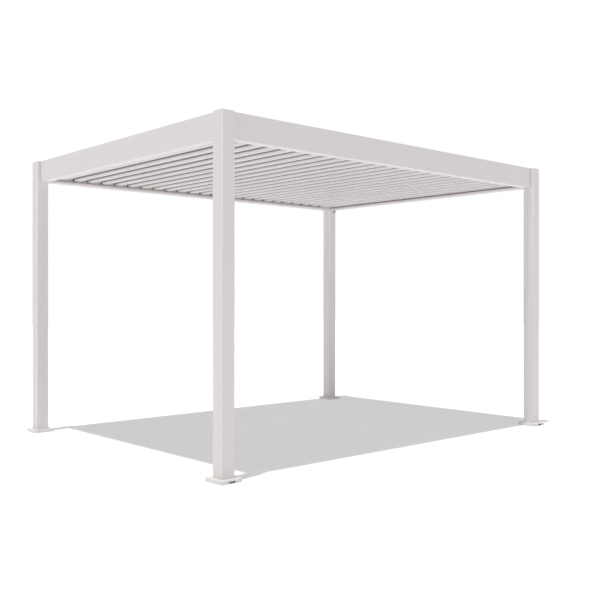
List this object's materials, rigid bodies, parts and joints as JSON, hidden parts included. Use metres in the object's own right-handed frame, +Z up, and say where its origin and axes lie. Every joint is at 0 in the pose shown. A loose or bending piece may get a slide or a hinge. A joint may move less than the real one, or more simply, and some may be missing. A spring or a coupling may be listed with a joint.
{
  "type": "louvred roof pergola",
  "caption": "Free-standing rectangular pergola with corner posts, ring beams with gutters and a closable roof of turning louvres.",
  "frame": {"origin": "on the ground, at the middle of the rectangle of the four posts", "axes": "+X along the long side, +Y along the short side from front to back, +Z up"},
  "size_m": [4.08, 3.08, 2.575],
  "materials": {
    "frame_coat": "off-white matt powder coat on aluminium",
    "louvre_coat": "off-white matt powder coat on aluminium",
    "zinc_steel": "zinc-plated steel",
    "bearing_plastic": "light grey plastic",
    "link_metal": "natural anodised aluminium",
    "eye_metal": "dark grey painted steel"
  },
  "bodies": {
    "frame": {"post_front_left": "frame_coat", "foot_cover_front_left": "frame_coat", "post_front_right": "frame_coat", "foot_cover_front_right": "frame_coat", "post_back_left": "frame_coat", "foot_cover_back_left": "frame_coat", "post_back_right": "frame_coat", "foot_cover_back_right": "frame_coat", "beam_front": "frame_coat", "beam_back": "frame_coat", "beam_left": "frame_coat", "beam_right": "frame_coat", "post_caps": "frame_coat", "base_plates": "zinc_steel", "bearing_strip_front": "bearing_plastic", "bearing_strip_back": "bearing_plastic", "flashing_left": "louvre_coat", "flashing_right": "louvre_coat", "crank_eye": "eye_metal"},
    "louvre_01": {"louvre_01": "louvre_coat"},
    "louvre_02": {"louvre_02": "louvre_coat"},
    "louvre_03": {"louvre_03": "louvre_coat"},
    "louvre_04": {"louvre_04": "louvre_coat"},
    "louvre_05": {"louvre_05": "louvre_coat"},
    "louvre_06": {"louvre_06": "louvre_coat"},
    "louvre_07": {"louvre_07": "louvre_coat"},
    "louvre_08": {"louvre_08": "louvre_coat"},
    "louvre_09": {"louvre_09": "louvre_coat"},
    "louvre_10": {"louvre_10": "louvre_coat"},
    "louvre_11": {"louvre_11": "louvre_coat"},
    "louvre_12": {"louvre_12": "louvre_coat"},
    "louvre_13": {"louvre_13": "louvre_coat"},
    "louvre_14": {"louvre_14": "louvre_coat"},
    "louvre_15": {"louvre_15": "louvre_coat"},
    "louvre_16": {"louvre_16": "louvre_coat"},
    "louvre_17": {"louvre_17": "louvre_coat"},
    "louvre_18": {"louvre_18": "louvre_coat"},
    "louvre_19": {"louvre_19": "louvre_coat"},
    "louvre_20": {"louvre_20": "louvre_coat"},
    "louvre_21": {"louvre_21": "louvre_coat"},
    "louvre_22": {"louvre_22": "louvre_coat"},
    "louvre_23": {"louvre_23": "louvre_coat"},
    "louvre_24": {"louvre_24": "louvre_coat"},
    "link_bar": {"link_bar": "link_metal"}
  },
  "joints": [
    {"name": "louvre_01_turn", "type": "hinge", "parent": "frame", "child": "louvre_01", "pos_m": [-1.759, 0, 2.433], "axis": [0, -1, 0], "range_deg": [0, 90]},
    {"name": "louvre_02_turn", "type": "hinge", "parent": "frame", "child": "louvre_02", "pos_m": [-1.607, 0, 2.433], "axis": [0, -1, 0], "range_deg": [0, 90]},
    {"name": "louvre_03_turn", "type": "hinge", "parent": "frame", "child": "louvre_03", "pos_m": [-1.455, 0, 2.433], "axis": [0, -1, 0], "range_deg": [0, 90]},
    {"name": "louvre_04_turn", "type": "hinge", "parent": "frame", "child": "louvre_04", "pos_m": [-1.303, 0, 2.433], "axis": [0, -1, 0], "range_deg": [0, 90]},
    {"name": "louvre_05_turn", "type": "hinge", "parent": "frame", "child": "louvre_05", "pos_m": [-1.151, 0, 2.433], "axis": [0, -1, 0], "range_deg": [0, 90]},
    {"name": "louvre_06_turn", "type": "hinge", "parent": "frame", "child": "louvre_06", "pos_m": [-0.999, 0, 2.433], "axis": [0, -1, 0], "range_deg": [0, 90]},
    {"name": "louvre_07_turn", "type": "hinge", "parent": "frame", "child": "louvre_07", "pos_m": [-0.847, 0, 2.433], "axis": [0, -1, 0], "range_deg": [0, 90]},
    {"name": "louvre_08_turn", "type": "hinge", "parent": "frame", "child": "louvre_08", "pos_m": [-0.695, 0, 2.433], "axis": [0, -1, 0], "range_deg": [0, 90]},
    {"name": "louvre_09_turn", "type": "hinge", "parent": "frame", "child": "louvre_09", "pos_m": [-0.543, 0, 2.433], "axis": [0, -1, 0], "range_deg": [0, 90]},
    {"name": "louvre_10_turn", "type": "hinge", "parent": "frame", "child": "louvre_10", "pos_m": [-0.391, 0, 2.433], "axis": [0, -1, 0], "range_deg": [0, 90]},
    {"name": "louvre_11_turn", "type": "hinge", "parent": "frame", "child": "louvre_11", "pos_m": [-0.239, 0, 2.433], "axis": [0, -1, 0], "range_deg": [0, 90]},
    {"name": "louvre_12_turn", "type": "hinge", "parent": "frame", "child": "louvre_12", "pos_m": [-0.087, 0, 2.433], "axis": [0, -1, 0], "range_deg": [0, 90]},
    {"name": "louvre_13_turn", "type": "hinge", "parent": "frame", "child": "louvre_13", "pos_m": [0.065, 0, 2.433], "axis": [0, -1, 0], "range_deg": [0, 90]},
    {"name": "louvre_14_turn", "type": "hinge", "parent": "frame", "child": "louvre_14", "pos_m": [0.217, 0, 2.433], "axis": [0, -1, 0], "range_deg": [0, 90]},
    {"name": "louvre_15_turn", "type": "hinge", "parent": "frame", "child": "louvre_15", "pos_m": [0.369, 0, 2.433], "axis": [0, -1, 0], "range_deg": [0, 90]},
    {"name": "louvre_16_turn", "type": "hinge", "parent": "frame", "child": "louvre_16", "pos_m": [0.521, 0, 2.433], "axis": [0, -1, 0], "range_deg": [0, 90]},
    {"name": "louvre_17_turn", "type": "hinge", "parent": "frame", "child": "louvre_17", "pos_m": [0.673, 0, 2.433], "axis": [0, -1, 0], "range_deg": [0, 90]},
    {"name": "louvre_18_turn", "type": "hinge", "parent": "frame", "child": "louvre_18", "pos_m": [0.825, 0, 2.433], "axis": [0, -1, 0], "range_deg": [0, 90]},
    {"name": "louvre_19_turn", "type": "hinge", "parent": "frame", "child": "louvre_19", "pos_m": [0.977, 0, 2.433], "axis": [0, -1, 0], "range_deg": [0, 90]},
    {"name": "louvre_20_turn", "type": "hinge", "parent": "frame", "child": "louvre_20", "pos_m": [1.129, 0, 2.433], "axis": [0, -1, 0], "range_deg": [0, 90]},
    {"name": "louvre_21_turn", "type": "hinge", "parent": "frame", "child": "louvre_21", "pos_m": [1.281, 0, 2.433], "axis": [0, -1, 0], "range_deg": [0, 90]},
    {"name": "louvre_22_turn", "type": "hinge", "parent": "frame", "child": "louvre_22", "pos_m": [1.433, 0, 2.433], "axis": [0, -1, 0], "range_deg": [0, 90]},
    {"name": "louvre_23_turn", "type": "hinge", "parent": "frame", "child": "louvre_23", "pos_m": [1.585, 0, 2.433], "axis": [0, -1, 0], "range_deg": [0, 90]},
    {"name": "louvre_24_turn", "type": "hinge", "parent": "frame", "child": "louvre_24", "pos_m": [1.737, 0, 2.433], "axis": [0, -1, 0], "range_deg": [0, 90]},
    {"name": "link_bar_swing", "type": "hinge", "parent": "louvre_01", "child": "link_bar", "pos_m": [-1.73072, 1.4068, 2.46128], "axis": [0, -1, 0], "range_deg": [-90, 0]}
  ],
  "couplings": [
    {"joint": "louvre_02_turn", "follows": "louvre_01_turn", "ratio": 1},
    {"joint": "louvre_03_turn", "follows": "louvre_01_turn", "ratio": 1},
    {"joint": "louvre_04_turn", "follows": "louvre_01_turn", "ratio": 1},
    {"joint": "louvre_05_turn", "follows": "louvre_01_turn", "ratio": 1},
    {"joint": "louvre_06_turn", "follows": "louvre_01_turn", "ratio": 1},
    {"joint": "louvre_07_turn", "follows": "louvre_01_turn", "ratio": 1},
    {"joint": "louvre_08_turn", "follows": "louvre_01_turn", "ratio": 1},
    {"joint": "louvre_09_turn", "follows": "louvre_01_turn", "ratio": 1},
    {"joint": "louvre_10_turn", "follows": "louvre_01_turn", "ratio": 1},
    {"joint": "louvre_11_turn", "follows": "louvre_01_turn", "ratio": 1},
    {"joint": "louvre_12_turn", "follows": "louvre_01_turn", "ratio": 1},
    {"joint": "louvre_13_turn", "follows": "louvre_01_turn", "ratio": 1},
    {"joint": "louvre_14_turn", "follows": "louvre_01_turn", "ratio": 1},
    {"joint": "louvre_15_turn", "follows": "louvre_01_turn", "ratio": 1},
    {"joint": "louvre_16_turn", "follows": "louvre_01_turn", "ratio": 1},
    {"joint": "louvre_17_turn", "follows": "louvre_01_turn", "ratio": 1},
    {"joint": "louvre_18_turn", "follows": "louvre_01_turn", "ratio": 1},
    {"joint": "louvre_19_turn", "follows": "louvre_01_turn", "ratio": 1},
    {"joint": "louvre_20_turn", "follows": "louvre_01_turn", "ratio": 1},
    {"joint": "louvre_21_turn", "follows": "louvre_01_turn", "ratio": 1},
    {"joint": "louvre_22_turn", "follows": "louvre_01_turn", "ratio": 1},
    {"joint": "louvre_23_turn", "follows": "louvre_01_turn", "ratio": 1},
    {"joint": "louvre_24_turn", "follows": "louvre_01_turn", "ratio": 1},
    {"joint": "link_bar_swing", "follows": "louvre_01_turn", "ratio": -1}
  ]
}
